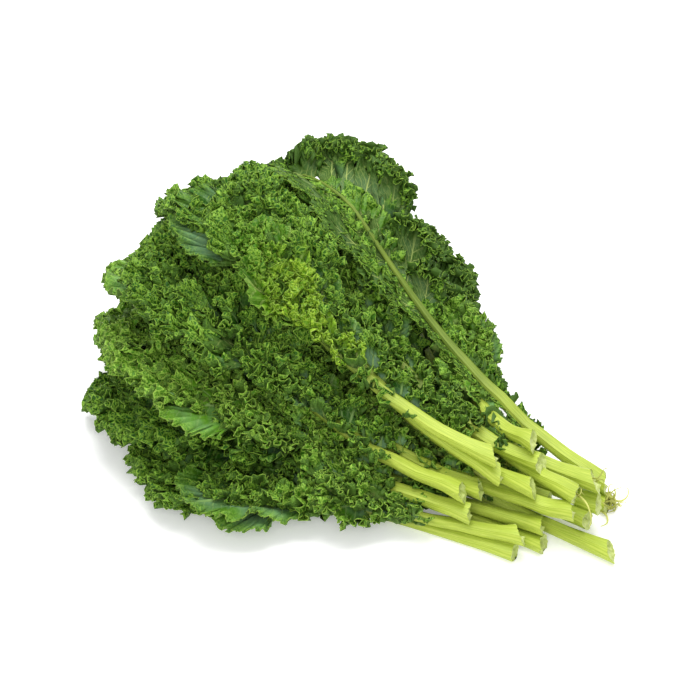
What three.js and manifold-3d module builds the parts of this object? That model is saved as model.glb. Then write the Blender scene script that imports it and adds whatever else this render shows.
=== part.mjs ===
// A bunch of curly kale, lying on its side. Millimetres, +Z up.
//
// Twenty-one cut leaves are gathered at a neck. Their pale stalks run out to +X and end in
// oblique cuts, and their frilled blades fan out to -X. Each leaf is two solids: a stalk, which
// runs on under the blade as its midrib, and a thin waved blade. Leaves are laid one at a time,
// from the lowest to the topmost, and each one sags until it rests on the leaves under it.

import * as THREE from 'three'
import Module from 'manifold-3d'

const wasm = await Module()
wasm.setup()

// ---------------------------------------------------------------- driving dimensions

const NECK = { x: 84.4, y: -0.5 } // where the blades fan out from
const GAP = 0.35 // clearance between pieces that touch
const BLADE = 1.0 // thickness of a blade
const SINK = 0.2 // depth of the flats that the table leaves on the lowest stalks

const FOOT_RADIUS = 5.4 // half width of a stalk at its foot, over TIP_RADIUS
const TIP_RADIUS = 0.9
const TAPER = 0.75 // power of the stalk's narrowing towards the tip
const FLARE = { extra: 1.4, share: 0.08 } // of the cut end
const FLAT = 0.8 // height of a stalk's section over its width
const BEVEL = 1.5 // slant of the cut end

const RIB_END = 0.88 // share of the blade that the midrib reaches
const FULLEST = 1.7 // power that moves a blade's widest place towards the tip
const NARROW = 6 // least half width of a blade
const LOBES = 5 // on each side of a blade
const NOTCH = { tip: 0.1, base: 0.22 } // depth between the lobes over the half width
const WAVE = { length: 40, rise: 8, from: 0.08, power: 1.3 }
const CURL = { rise: 5, from: 0.35 }
const TOOTH = { out: 3, rise: 4 } // of every second point along the margin

const STATIONS = 24 // steps along a leaf at which its heights are solved
const COLUMNS = [-1, -0.5, 0, 0.5, 1] // and places across it, over its half width
const RIB_SAG = 0.16 // how far the midrib sags between its stations
const STALK_SAG = 0.35 // the same for the bare stalk
const DROOP = [0, 2, 16] // fall of the blade at the midrib, half way out and at the margin
const ROOM = { under: 4, over: 7, around: 1.2 } // for a frilled margin and round a midrib
const TURNED_ROOM = 7 // for a turned leaf's blade under its midrib
const STANDING = 0.68 // share of the length from which the outer margin of a leaf may stand up

const LINE_SPACING = 17 // distance between the lines that split a blade across
const ROWS = [0, 0.36, 0.72, 1] // shares of the way from the midrib to the margin
const STALK_STEP = 32 // distance between the sections of a bare stalk

// Leaves from the lowest to the topmost. `end` is the cut end from the neck, `fan` the heading of
// the leaf in degrees from -X, `reach` its tip's distance from the neck, `half` the blade's half
// width, `share` the part of the length that the blade takes and `frill` the strength of its
// waves. A turned leaf shows its underside, so its midrib lies on top of the blade, and `stand` is
// how far its outer margin stands up near the tip.
const LEAVES = [
  { end: [77, -49], fan: -33, reach: 225, half: 58, share: 0.66, frill: 0.9 },
  { end: [89, -33], fan: -15, reach: 255, half: 58, share: 0.62, frill: 0.9 },
  { end: [128, -14], fan: -3, reach: 285, half: 56, share: 0.58, frill: 0.9 },
  { end: [104, -3], fan: 10, reach: 280, half: 58, share: 0.6, frill: 0.9 },
  { end: [106, 6], fan: 24, reach: 264, half: 56, share: 0.6, frill: 0.9 },
  { end: [103, 25], fan: 38, reach: 225, half: 50, share: 0.6, frill: 0.9 },
  { end: [77, -44], fan: -52, reach: 112, half: 32, share: 0.52, frill: 0.9 },
  { end: [84, -28], fan: -22, reach: 266, half: 58, share: 0.62, frill: 1 },
  { end: [100, -20], fan: -8, reach: 285, half: 56, share: 0.62, frill: 1 },
  { end: [76, -6], fan: 6, reach: 282, half: 56, share: 0.64, frill: 1 },
  { end: [100, 10], fan: 18, reach: 262, half: 54, share: 0.64, frill: 1 },
  { end: [98, -12], fan: 44, reach: 215, half: 50, share: 0.6, frill: 1 },
  { end: [43, -50], fan: -18, reach: 250, half: 56, share: 0.66, frill: 1 },
  { end: [40, -33], fan: -3, reach: 278, half: 56, share: 0.64, frill: 1 },
  { end: [72, -22], fan: 12, reach: 265, half: 58, share: 0.64, frill: 1 },
  { end: [66, -2], fan: 20, reach: 212, half: 48, share: 0.58, frill: 1 },
  { end: [56, 4], fan: 60, reach: 112, half: 24, share: 0.6, frill: 0.9 },
  { end: [34, -46], fan: -10, reach: 243, half: 54, share: 0.64, frill: 1 },
  { end: [50, -28], fan: 6, reach: 256, half: 50, share: 0.62, frill: 1 },
  { end: [97, 32], fan: 25, reach: 238, half: 46, share: 0.6, frill: 1, turned: true, stand: 40 },
  { end: [44, -26], fan: -7, reach: 165, half: 27, share: 0.36, frill: 1, young: true },
]

const STALK = new THREE.MeshStandardMaterial({ color: 0xc3d98a, roughness: 0.45 })
const GREEN = new THREE.MeshStandardMaterial({ color: 0x3f7a2c, roughness: 0.6 })
const UNDERSIDE = new THREE.MeshStandardMaterial({ color: 0x6f9a55, roughness: 0.7 })
const LIME = new THREE.MeshStandardMaterial({ color: 0x79b23c, roughness: 0.6 })

// ---------------------------------------------------------------- small helpers

const clamp = (v, low, high) => Math.min(Math.max(v, low), high)

const ease = (v) => {
  const t = clamp(v, 0, 1)
  return t * t * (3 - 2 * t)
}

// Catmull-Rom curve through four values
const catmull = (p, t) =>
  0.5 *
  (2 * p[1] +
    (p[2] - p[0]) * t +
    (2 * p[0] - 5 * p[1] + 4 * p[2] - p[3]) * t * t +
    (3 * p[1] - p[0] - 3 * p[2] + p[3]) * t * t * t)

// a seeded source of numbers from 0 to 1
const random = (seed) => {
  let state = seed >>> 0
  return () => {
    state = (Math.imul(state, 1664525) + 1013904223) >>> 0
    return state / 4294967296
  }
}

// a smooth random curve over 0..1 with values from -1 to 1
const smoothNoise = (draw, knots) => {
  const value = Array.from({ length: knots + 3 }, () => 2 * draw() - 1)
  return (v) => {
    const f = clamp(v, 0, 1) * knots
    const i = Math.min(Math.floor(f), knots - 1)
    return catmull(value.slice(i, i + 4), f - i)
  }
}

// ---------------------------------------------------------------- one leaf's shape

class Leaf {
  constructor(row, index) {
    Object.assign(this, { stand: 0 }, row)
    const fan = THREE.MathUtils.degToRad(row.fan)
    this.foot = [NECK.x + row.end[0], NECK.y + row.end[1]]
    const [ex, ey] = this.foot
    this.tip = [NECK.x - row.reach * Math.cos(fan), NECK.y + row.reach * Math.sin(fan)]
    this.chord = Math.hypot(this.tip[0] - ex, this.tip[1] - ey)
    const head = fan * 0.25
    this.bend = [ex - 0.5 * this.chord * Math.cos(head), ey + 0.5 * this.chord * Math.sin(head)]
    this.base = 1 - row.share
    this.bladeLength = this.chord * row.share
    this.lines = Math.round(this.bladeLength / LINE_SPACING) // on each side
    this.green = row.young ? LIME : row.turned ? UNDERSIDE : GREEN
    const draw = random(5 + 97 * (11 + 7 * index))
    this.waves = (2 * 1.15 * this.bladeLength) / WAVE.length
    this.shift = smoothNoise(draw, Math.round(this.waves * 0.7))
    this.swell = smoothNoise(draw, Math.round(this.waves * 0.5))
  }

  // place and heading at the share u of the leaf's length, straight on past the tip
  plan(u) {
    const c = Math.min(u, 1)
    const [ex, ey] = this.foot
    const [bx, by] = this.bend
    const [tx, ty] = this.tip
    const x = (1 - c) ** 2 * ex + 2 * c * (1 - c) * bx + c * c * tx
    const y = (1 - c) ** 2 * ey + 2 * c * (1 - c) * by + c * c * ty
    let dx = 2 * (1 - c) * (bx - ex) + 2 * c * (tx - bx)
    let dy = 2 * (1 - c) * (by - ey) + 2 * c * (ty - by)
    const d = Math.hypot(dx, dy)
    dx /= d
    dy /= d
    return { x: x + dx * (u - c) * this.chord, y: y + dy * (u - c) * this.chord, dx, dy }
  }

  at(u, side) {
    const p = this.plan(u)
    return [p.x - p.dy * side, p.y + p.dx * side]
  }

  // half width of the blade
  width(u) {
    const x = (u - this.base) / this.share
    if (x <= 0 || x >= 1) return 0
    return this.half * Math.sin(Math.PI * x ** FULLEST) ** 0.65
  }

  // half width of the stalk and midrib
  radius(u) {
    const c = Math.min(u, 1)
    const flare = FLARE.extra * Math.max(0, 1 - c / FLARE.share)
    return FOOT_RADIUS * (1 - c) ** TAPER + TIP_RADIUS + flare
  }

  // height of the midrib's axis (q = 0) and of the blade beside it (q = -1 and 1 at the margins)
  height(u, q) {
    const f = clamp(u, 0, 1) * STATIONS
    const i = Math.min(Math.floor(f), STATIONS - 1)
    const g = (clamp(q, -1, 1) + 1) * 2
    const j = Math.min(Math.floor(g), 3)
    const rows = [-1, 0, 1, 2].map((a) => {
      const row = this.z[clamp(i + a, 0, STATIONS)]
      return catmull([-1, 0, 1, 2].map((b) => row[clamp(j + b, 0, 4)]), g - j)
    })
    const past = Math.max(u - 1, 0) * STATIONS
    return catmull(rows, f - i) + past * (this.z[STATIONS][2] - this.z[STATIONS - 1][2])
  }

  // point on the centre line of the stalk and midrib
  axis(u) {
    const { x, y } = this.plan(u)
    return new THREE.Vector3(x, y, this.height(u, 0))
  }

  // Point on the blade's middle surface. s runs round the margin from the base of one side (-1)
  // past the tip (0) to the base of the other (1), and t from the midrib (0) to the margin (1).
  surface(s, t) {
    const x = 1 - Math.abs(s)
    const edge = 0.02 + x ** 0.95
    const lobe = Math.abs(Math.sin(Math.PI * LOBES * x ** 0.9)) ** 0.6
    const depth = NOTCH.tip * x + NOTCH.base * (1 - x)
    const round = x > 0.8 ? Math.sqrt(Math.min(1, (1 - x) * 9)) : 1
    const full = this.width(this.base + this.share * Math.min(edge * 0.985, 0.999))
    const reach = Math.max(full * (1 - depth + depth * lobe), NARROW) * round
    const u = this.base + this.share * (RIB_END * x + (edge * 1.04 - RIB_END * x) * t)
    const out = Math.sign(s) * reach * t
    const room = Math.max(this.width(clamp(u, this.base + 0.02, 0.97)), 10)
    const [px, py] = this.at(u, out)
    const lift = FLAT * this.radius(u) + GAP + BLADE / 2
    const v = (s + 1) / 2
    const phase = 2 * Math.PI * this.waves * v + 2 * this.shift(v)
    const strength = clamp((t - WAVE.from) / (1 - WAVE.from), 0, 1) ** WAVE.power
    const wave = WAVE.rise * (1 + 0.35 * this.swell(v)) * strength * Math.sin(phase)
    const curl = CURL.rise * clamp((t - CURL.from) / (1 - CURL.from), 0, 1) ** 2
    const z = this.height(u, out / room) + (this.turned ? -lift : lift)
    return new THREE.Vector3(px, py, z + this.frill * (wave + curl))
  }
}

// ---------------------------------------------------------------- laying the leaves down

// Rough heights of what lies on the table so far, with room for its frills, on a square grid.
class Pile {
  constructor() {
    this.cell = 4
    this.size = 200
    this.start = -400
    this.heights = new Float64Array(this.size * this.size)
  }

  index(v) {
    return Math.floor((v - this.start) / this.cell)
  }

  top(x, y) {
    let best = 0
    for (let i = this.index(x) - 1; i <= this.index(x) + 1; i++) {
      for (let j = this.index(y) - 1; j <= this.index(y) + 1; j++) {
        best = Math.max(best, this.heights[i * this.size + j])
      }
    }
    return best
  }

  raise(leaf) {
    const steps = Math.floor(leaf.chord / 3)
    for (let a = 0; a <= steps; a++) {
      const u = a / steps
      const bladed = leaf.width(u) > 8
      const w = Math.max(leaf.width(u), leaf.radius(u))
      const m = Math.max(2, Math.floor(w / 2.5))
      for (let b = -m; b <= m; b++) {
        const q = b / m
        const [x, y] = leaf.at(u, q * w)
        const frilled = bladed ? (ROOM.over * leaf.frill * q * q * w) / leaf.half : 0
        const z = leaf.height(u, bladed ? q : 0) + leaf.radius(u) + ROOM.around + frilled
        const k = this.index(x) * this.size + this.index(y)
        this.heights[k] = Math.max(this.heights[k], z)
      }
    }
  }
}

// Heights on a finer square grid: `floor` is the upper side of what a piece lies on, and `roof`
// the lower side of the stalks that lie on it.
class Relief {
  constructor() {
    this.cell = 2
    this.size = 320
    this.start = -320
    this.floor = new Float64Array(this.size ** 2).fill(-GAP)
    this.roof = new Float64Array(this.size ** 2)
  }

  index(v) {
    return Math.floor((v - this.start) / this.cell)
  }

  // calls `visit` with each cell that a triangle covers in plan and its height there
  cover(a, b, c, visit) {
    for (const p of [a, b, c]) visit(this.index(p.x) * this.size + this.index(p.y), p.z)
    const area = (b.x - a.x) * (c.y - a.y) - (c.x - a.x) * (b.y - a.y)
    if (Math.abs(area) < 1e-6) return
    const lastI = this.index(Math.max(a.x, b.x, c.x))
    const lastJ = this.index(Math.max(a.y, b.y, c.y))
    for (let i = this.index(Math.min(a.x, b.x, c.x)); i <= lastI; i++) {
      const x = this.start + (i + 0.5) * this.cell
      for (let j = this.index(Math.min(a.y, b.y, c.y)); j <= lastJ; j++) {
        const y = this.start + (j + 0.5) * this.cell
        const v = ((x - a.x) * (c.y - a.y) - (c.x - a.x) * (y - a.y)) / area
        const w = ((b.x - a.x) * (y - a.y) - (x - a.x) * (b.y - a.y)) / area
        if (v < 0 || w < 0 || v + w > 1) continue
        visit(i * this.size + j, a.z + v * (b.z - a.z) + w * (c.z - a.z))
      }
    }
  }

  coverAll({ points, triangles }, visit) {
    for (const [a, b, c] of triangles) this.cover(points[a], points[b], points[c], visit)
  }

  raiseFloor(shape) {
    this.coverAll(shape, (k, z) => (this.floor[k] = Math.max(this.floor[k], z)))
  }

  hangRoof(shapes) {
    this.roof.fill(Infinity)
    for (const shape of shapes) {
      this.coverAll(shape, (k, z) => (this.roof[k] = Math.min(this.roof[k], z)))
    }
  }
}

// the lowest height at which a stalk clears every stalk laid before it
function restOnStalks(laid, x, y, radius) {
  let best = 0
  for (const dot of laid) {
    const clear = radius + dot.radius + dot.cover
    const apart = (dot.x - x) ** 2 + (dot.y - y) ** 2
    if (apart < clear ** 2) best = Math.max(best, dot.z + FLAT * Math.sqrt(clear ** 2 - apart))
  }
  return best
}

// heights of a leaf's sagging midline, which stays above every value of `floor`
function sag(floor, leaf) {
  const n = floor.length - 1
  const line = floor.map(() => Math.max(...floor))
  const sweeps = 400
  for (let sweep = 0; sweep < sweeps; sweep++) {
    for (let i = 0; i <= n; i++) {
      const weight = i / n > leaf.base + 0.1 ? RIB_SAG : STALK_SAG
      let goal = 0.5 * (line[i - 1] + line[i + 1]) - weight
      if (i === 0) goal = 2 * line[1] - line[2] - 0.7
      if (i === n) goal = line[n - 1] + 0.9 * (line[n - 1] - line[n - 2]) - 0.6
      line[i] = Math.max(floor[i], goal)
    }
  }
  return line
}

// Solve the heights of one leaf over the pile. A bare stalk sinks in among the stalks below it,
// so the pile counts only from the blade's base on.
function drape(leaf, pile, laid) {
  const stations = Array.from({ length: STATIONS + 1 }, (_, i) => i / STATIONS)
  const wide = stations.map((u) => Math.max(leaf.width(Math.min(u, 0.97)), 3))
  const floor = stations.map((u, i) =>
    COLUMNS.map((q) => {
      const [x, y] = leaf.at(u, q * wide[i])
      const held = pile.top(x, y) * ease((u - leaf.base - 0.05) / 0.3) - SINK
      const frilled = (ROOM.under * leaf.frill * q * q * wide[i]) / leaf.half
      const raised = q < 0 ? leaf.stand * q * q * ease((u - STANDING) / 0.2) : 0
      const rest = held + (leaf.turned ? TURNED_ROOM : 0) + FLAT * leaf.radius(u) + frilled + raised
      return q === 0 ? Math.max(rest, restOnStalks(laid, x, y, leaf.radius(u))) : rest
    }),
  )
  const spine = sag(floor.map((row) => Math.max(row[2], 0.5 * (row[1] + row[3]) - 2)), leaf)
  leaf.z = floor.map((row, i) =>
    row.map((low, j) => {
      const fall = (DROOP[Math.abs(j - 2)] * wide[i]) / leaf.half
      return j === 2 ? spine[i] : Math.max(low, spine[i] - fall)
    }),
  )
  smoothSides(leaf.z, floor)
}

function smoothSides(heights, floor) {
  const passes = 12
  for (let pass = 0; pass < passes; pass++) {
    const last = heights.map((row) => [...row])
    for (let i = 0; i <= STATIONS; i++) {
      for (const j of [0, 1, 3, 4]) {
        const near = [last[i][j - 1], last[i][j + 1], last[i - 1]?.[j], last[i + 1]?.[j]]
        const known = near.filter((z) => z !== undefined)
        const mean = known.reduce((a, b) => a + b) / known.length
        heights[i][j] = Math.max(floor[i][j], 0.5 * (last[i][j] + mean))
      }
    }
  }
}

// the centre line of a leaf's stalk, as dots that later stalks rest on
function stalkDots(leaf) {
  const count = Math.floor(leaf.chord / 4)
  return Array.from({ length: count + 1 }, (_, i) => {
    const u = i / count
    const [x, y] = leaf.at(u, 0)
    const cover = u > leaf.base ? GAP + BLADE + GAP : GAP
    return { x, y, z: leaf.height(u, 0), radius: leaf.radius(u), cover }
  })
}

// Move the points of a blade up or down until it lies clear between floor and roof. Points that
// an edge joins stay within `follow` of each other where they can. The floor has the last word.
function settle(blade, relief) {
  const passes = 60
  const roofedPasses = 45
  const follow = 5
  for (let pass = 0; pass < passes; pass++) {
    const { points, triangles, owner } = blade.shape()
    const up = blade.lift.map(() => 0)
    const down = blade.lift.map(() => 0)
    for (const triangle of triangles) {
      const [a, b, c] = triangle.map((k) => points[k])
      relief.cover(a, b, c, (cell, z) => {
        const low = relief.floor[cell] + GAP - z
        const high = pass < roofedPasses ? z - relief.roof[cell] + GAP : 0
        for (const k of triangle) {
          up[owner[k]] = Math.max(up[owner[k]], low)
          down[owner[k]] = Math.max(down[owner[k]], high)
        }
      })
    }
    if (Math.max(...up, ...down) < 0.02) break
    blade.lift = blade.lift.map((v, k) => v + (up[k] > 0 ? up[k] : -down[k]))
    for (const [i, j] of pass % 2 ? blade.edges : []) {
      const step = blade.lift[i] - blade.lift[j]
      const excess = Math.sign(step) * Math.max(Math.abs(step) - follow, 0)
      blade.lift[i] -= 0.25 * excess
      blade.lift[j] += 0.25 * excess
    }
  }
}

// ---------------------------------------------------------------- solids

function solid({ points, triangles }) {
  const vertProperties = new Float32Array(points.flatMap((p) => [p.x, p.y, p.z]))
  const triVerts = new Uint32Array(triangles.flat())
  return new wasm.Manifold(new wasm.Mesh({ numProp: 3, vertProperties, triVerts }))
}

// section of a stalk over its radius: flat below, keeled at the sides, narrower above
const SECTION = [
  [-0.6, -FLAT],
  [0.6, -FLAT],
  [1, -0.05],
  [0.45, FLAT],
  [-0.45, FLAT],
  [-1, -0.05],
]

// a leaf's stalk and midrib, one section after another from the cut end to near the tip
class Stalk {
  constructor(leaf) {
    this.leaf = leaf
    const steps = Math.max(2, Math.round((leaf.chord * leaf.base) / STALK_STEP))
    const bare = Array.from({ length: steps }, (_, i) => (leaf.base * i) / steps)
    const ribStep = (leaf.share * RIB_END) / leaf.lines
    const rib = Array.from({ length: leaf.lines + 1 }, (_, i) => leaf.base + i * ribStep)
    this.stations = [0, FLARE.share / 2, ...bare.slice(1), ...rib]
    this.triangles = this.skin()
  }

  skin() {
    const sides = SECTION.length
    const last = (this.stations.length - 1) * sides
    const triangles = []
    for (let ring = 0; ring < last; ring += sides) {
      for (let k = 0; k < sides; k++) {
        const a = ring + k
        const b = ring + ((k + 1) % sides)
        triangles.push([a, b, b + sides], [a, b + sides, a + sides])
      }
    }
    for (let k = 1; k < sides - 1; k++) {
      triangles.push([0, k + 1, k], [last, last + k, last + k + 1])
    }
    return triangles
  }

  // the stalk, grown outwards by `extra`
  shape(extra = 0) {
    const { leaf, stations } = this
    const axis = stations.map((u) => leaf.axis(u))
    const points = stations.flatMap((u, i) => {
      const { dx, dy } = leaf.plan(u)
      const next = axis[Math.min(i + 1, axis.length - 1)]
      const along = next.clone().sub(axis[Math.max(i - 1, 0)]).normalize()
      const across = new THREE.Vector3(-dy, dx, 0)
      const up = new THREE.Vector3().crossVectors(along, across).normalize()
      const radius = leaf.radius(u) + extra
      return SECTION.map(([a, b]) => {
        const corner = axis[i].clone()
        corner.addScaledVector(across, a * radius).addScaledVector(up, b * radius)
        return i === 0 ? corner.addScaledVector(along, BEVEL * (a + b) - extra) : corner
      })
    })
    return { points, triangles: this.triangles }
  }
}

// Heights under the knee are squeezed, so that none falls below the table.
function aboveTable(z) {
  const knee = 4
  return z > knee ? z : knee * Math.exp(z / knee - 1)
}

// A leaf's blade. Lines run from the midrib to the margin, from the base of one side round the
// tip to the base of the other, and rows run along it. Half way between two lines the margin has
// a tooth. Both faces are split alike, and the blade is single-valued in plan.
class Blade {
  constructor(leaf) {
    this.leaf = leaf
    this.middle = [] // points of the middle surface
    this.numbers = new Map() // their places in that list
    this.split()
    this.lift = this.middle.map(() => 0)
    this.edges = this.faces.flatMap(([a, b, c]) => [
      [a, b],
      [b, c],
      [c, a],
    ])
  }

  // the number of the point called `name`, which `make` gives where it is new
  number(name, make) {
    if (!this.numbers.has(name)) {
      this.numbers.set(name, this.middle.length)
      this.middle.push(make())
    }
    return this.numbers.get(name)
  }

  point(line, row) {
    // both sides share the points of the midrib
    const s = (row === 0 ? Math.abs(line) : line) / this.leaf.lines
    return this.number(`${s} ${row}`, () => {
      const p = this.leaf.surface(s, ROWS[row])
      p.z = aboveTable(p.z - BLADE) + BLADE
      return p
    })
  }

  // teeth stand out from the margin, and up and down by turns
  tooth(line, a, b, c, d) {
    return this.number(`tooth ${line}`, () => {
      const foot = this.middle[a].clone().lerp(this.middle[b], 0.5)
      const p = this.middle[c].clone().lerp(this.middle[d], 0.5)
      const outward = p.clone().sub(foot).setZ(0).normalize()
      p.addScaledVector(outward, TOOTH.out)
      p.z += (line % 2 ? 1 : -1) * TOOTH.rise * this.leaf.frill
      return p
    })
  }

  split() {
    const { lines } = this.leaf
    const outer = ROWS.length - 1
    const rim = []
    this.faces = []
    for (let line = -lines; line < lines; line++) {
      for (let row = 0; row < outer; row++) {
        const a = this.point(line, row)
        const b = this.point(line + 1, row)
        const c = this.point(line + 1, row + 1)
        const d = this.point(line, row + 1)
        if (row === outer - 1) {
          const e = this.tooth(line, a, b, c, d)
          this.faces.push([a, d, e], [a, e, b], [b, e, c])
          rim.push(d, e)
        } else if (line < 0) {
          this.faces.push([a, d, b], [b, d, c])
        } else {
          this.faces.push([a, d, c], [a, c, b])
        }
      }
    }
    for (let row = outer; row >= 0; row--) rim.push(this.point(lines, row))
    for (let row = 1; row < outer; row++) rim.push(this.point(-lines, row))
    const count = this.middle.length
    this.triangles = this.faces.flatMap(([a, b, c]) => [
      [a, b, c],
      [a + count, c + count, b + count],
    ])
    rim.forEach((a, k) => {
      const b = rim[(k + 1) % rim.length]
      this.triangles.push([b, a, a + count], [b, a + count, b + count])
    })
  }

  // the blade, thicker by `extra` on each face
  shape(extra = 0) {
    const middle = this.middle.map((p, k) => p.clone().setZ(p.z + this.lift[k]))
    const normals = middle.map(() => new THREE.Vector3())
    for (const [a, b, c] of this.faces) {
      const side = middle[c].clone().sub(middle[a])
      const normal = middle[b].clone().sub(middle[a]).cross(side)
      for (const k of [a, b, c]) normals[k].add(normal)
    }
    // measured upright, a steep stretch is thicker, so that it is no thinner across
    const half = normals.map((n) => (BLADE / 2 + extra) / Math.max(n.normalize().z, 0.5))
    const upper = middle.map((p, k) => p.clone().setZ(p.z + half[k]))
    const lower = middle.map((p, k) => p.clone().setZ(p.z - half[k]))
    const owner = [...middle.keys(), ...middle.keys()]
    return { points: [...upper, ...lower], triangles: this.triangles, owner }
  }
}

// the largest body that is left of a piece when each cutter that it crosses is taken from it
function trim(body, cutters) {
  let rest = body.trimByPlane([0, 0, 1], 0)
  for (const { plain, grown } of cutters) {
    if (rest.intersect(plain).volume() > 0) rest = rest.subtract(grown)
  }
  return rest.decompose().reduce((a, b) => (a.volume() > b.volume() ? a : b))
}

function mesh(name, body, material) {
  const { vertProperties, triVerts } = body.getMesh()
  const geometry = new THREE.BufferGeometry()
  geometry.setAttribute('position', new THREE.BufferAttribute(vertProperties, 3))
  geometry.setIndex(new THREE.BufferAttribute(triVerts, 1))
  geometry.computeVertexNormals()
  const result = new THREE.Mesh(geometry, material)
  result.name = name
  return result
}

// ---------------------------------------------------------------- the bunch

const leaves = LEAVES.map((row, index) => new Leaf(row, index))
const pile = new Pile()
const laid = []
for (const leaf of leaves) {
  drape(leaf, pile, laid)
  pile.raise(leaf)
  laid.push(...stalkDots(leaf))
  leaf.stalk = new Stalk(leaf)
}

// blades are settled from the lowest to the topmost, each under the stalks that lie on it
const relief = new Relief()
leaves.forEach((leaf, index) => {
  leaf.blade = new Blade(leaf)
  const above = leaves.slice(leaf.turned ? index : index + 1)
  relief.hangRoof(above.map((other) => other.stalk.shape()))
  if (!leaf.turned) relief.raiseFloor(leaf.stalk.shape())
  settle(leaf.blade, relief)
  relief.raiseFloor(leaf.blade.shape())
  if (leaf.turned) relief.raiseFloor(leaf.stalk.shape())
})

// where pieces still cross, stalks go before blades and upper blades before lower ones
const body = (piece) => ({ plain: solid(piece.shape()), grown: solid(piece.shape(GAP)) })
const stalks = leaves.map((leaf) => body(leaf.stalk))
const blades = leaves.map((leaf) => body(leaf.blade))

const bunch = new THREE.Group()
leaves.forEach((leaf, index) => {
  const name = `leaf_${String(index + 1).padStart(2, '0')}`
  const stalk = trim(stalks[index].plain, stalks.slice(0, index))
  const blade = trim(blades[index].plain, [...stalks, ...blades.slice(index + 1)])
  bunch.add(mesh(`${name}_stalk`, stalk, STALK))
  bunch.add(mesh(`${name}_blade`, blade, leaf.green))
})

export default bunch
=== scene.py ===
# %% [markdown]
# # A bunch of curly kale
# Twenty-one cut leaves lie on a table, gathered at a neck. Each leaf is one pale, ridged stalk
# that runs on as the midrib, and one green blade whose margin has grown so much longer than its
# middle that it folds into frills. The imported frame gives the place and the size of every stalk
# and blade. This script loads it, and stands a finer stalk and a finer blade in each one's place.

# %% Load the measured frame
import math

import bpy
import numpy as np
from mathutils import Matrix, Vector
from mathutils.bvhtree import BVHTree


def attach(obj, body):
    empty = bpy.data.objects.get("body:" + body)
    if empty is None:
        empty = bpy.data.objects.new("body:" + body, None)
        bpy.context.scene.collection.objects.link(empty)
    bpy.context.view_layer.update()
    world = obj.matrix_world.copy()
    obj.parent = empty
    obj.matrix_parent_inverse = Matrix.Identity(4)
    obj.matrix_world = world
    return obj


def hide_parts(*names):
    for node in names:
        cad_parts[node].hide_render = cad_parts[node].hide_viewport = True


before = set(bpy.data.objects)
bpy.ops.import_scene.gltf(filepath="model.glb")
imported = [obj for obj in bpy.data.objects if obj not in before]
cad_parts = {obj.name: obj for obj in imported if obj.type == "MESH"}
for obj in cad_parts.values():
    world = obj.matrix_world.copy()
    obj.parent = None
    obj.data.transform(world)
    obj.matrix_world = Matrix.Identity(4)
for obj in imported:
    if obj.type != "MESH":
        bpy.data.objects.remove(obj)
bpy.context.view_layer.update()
MM = 0.001
bpy.ops.object.select_all(action="DESELECT")

# %% [markdown]
# ## Where each leaf lies
# The leaves fan out from the neck. A leaf is told by its cut end, its heading, its length and its
# width. Its plan is a quadratic curve from the cut end to the tip. A row of numbers for each leaf
# keeps the whole layout in one place, where it is easy to read and to change.

# %% Table of leaves
NECK = np.array([84.4, -0.5])
# cut end x and y from the neck, heading, reach from the neck, half width, blade's share, kind
LEAVES = [
    (77, -49, -33, 225, 58, 0.66, "deep"),
    (89, -33, -15, 255, 58, 0.62, "deep"),
    (128, -14, -3, 285, 56, 0.58, "deep"),
    (104, -3, 10, 280, 58, 0.60, "deep"),
    (106, 6, 24, 264, 56, 0.60, "deep"),
    (103, 25, 38, 225, 50, 0.60, "deep"),
    (77, -44, -52, 112, 32, 0.52, "green"),
    (84, -28, -22, 266, 58, 0.62, "green"),
    (100, -20, -8, 285, 56, 0.62, "green"),
    (76, -6, 6, 282, 56, 0.64, "green"),
    (100, 10, 18, 262, 54, 0.64, "green"),
    (98, -12, 44, 215, 50, 0.60, "open"),
    (43, -50, -18, 250, 56, 0.66, "green"),
    (40, -33, -3, 278, 56, 0.64, "green"),
    (72, -22, 12, 265, 58, 0.64, "green"),
    (66, -2, 20, 212, 48, 0.58, "deep"),
    (56, 4, 60, 112, 24, 0.60, "deep"),
    (34, -46, -10, 243, 54, 0.64, "green"),
    (50, -28, 6, 256, 50, 0.62, "green"),
    (97, 32, 25, 238, 46, 0.60, "turned"),
    (44, -26, -7, 165, 27, 0.36, "young"),
]
SHOWS_UNDERSIDE = ("turned", "open")
print(len(LEAVES), "leaves, of kinds", sorted({row[-1] for row in LEAVES}))


# %% Smooth steps and curves through values
def ease(v):
    """0 to 1 with a soft start and a soft end."""
    t = np.clip(v, 0, 1)
    return t * t * (3 - 2 * t)


def curve_through(p0, p1, p2, p3, t):
    """Between p1 and p2 on a smooth curve that passes through all four values."""
    return 0.5 * (2 * p1 + (p2 - p0) * t + (2 * p0 - 5 * p1 + 4 * p2 - p3) * t**2
                  + (3 * p1 - p0 - 3 * p2 + p3) * t**3)


print("half way up a soft step:", float(ease(0.5)))


# %% The plan of a leaf
CUT_RADIUS, TIP_RADIUS, TAPER = 5.4, 0.9, 0.75  # mm, and how the stalk thins towards the tip
FLARE, FLARE_SHARE = 1.4, 0.08  # the stalk is thicker by this over its first share


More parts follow.
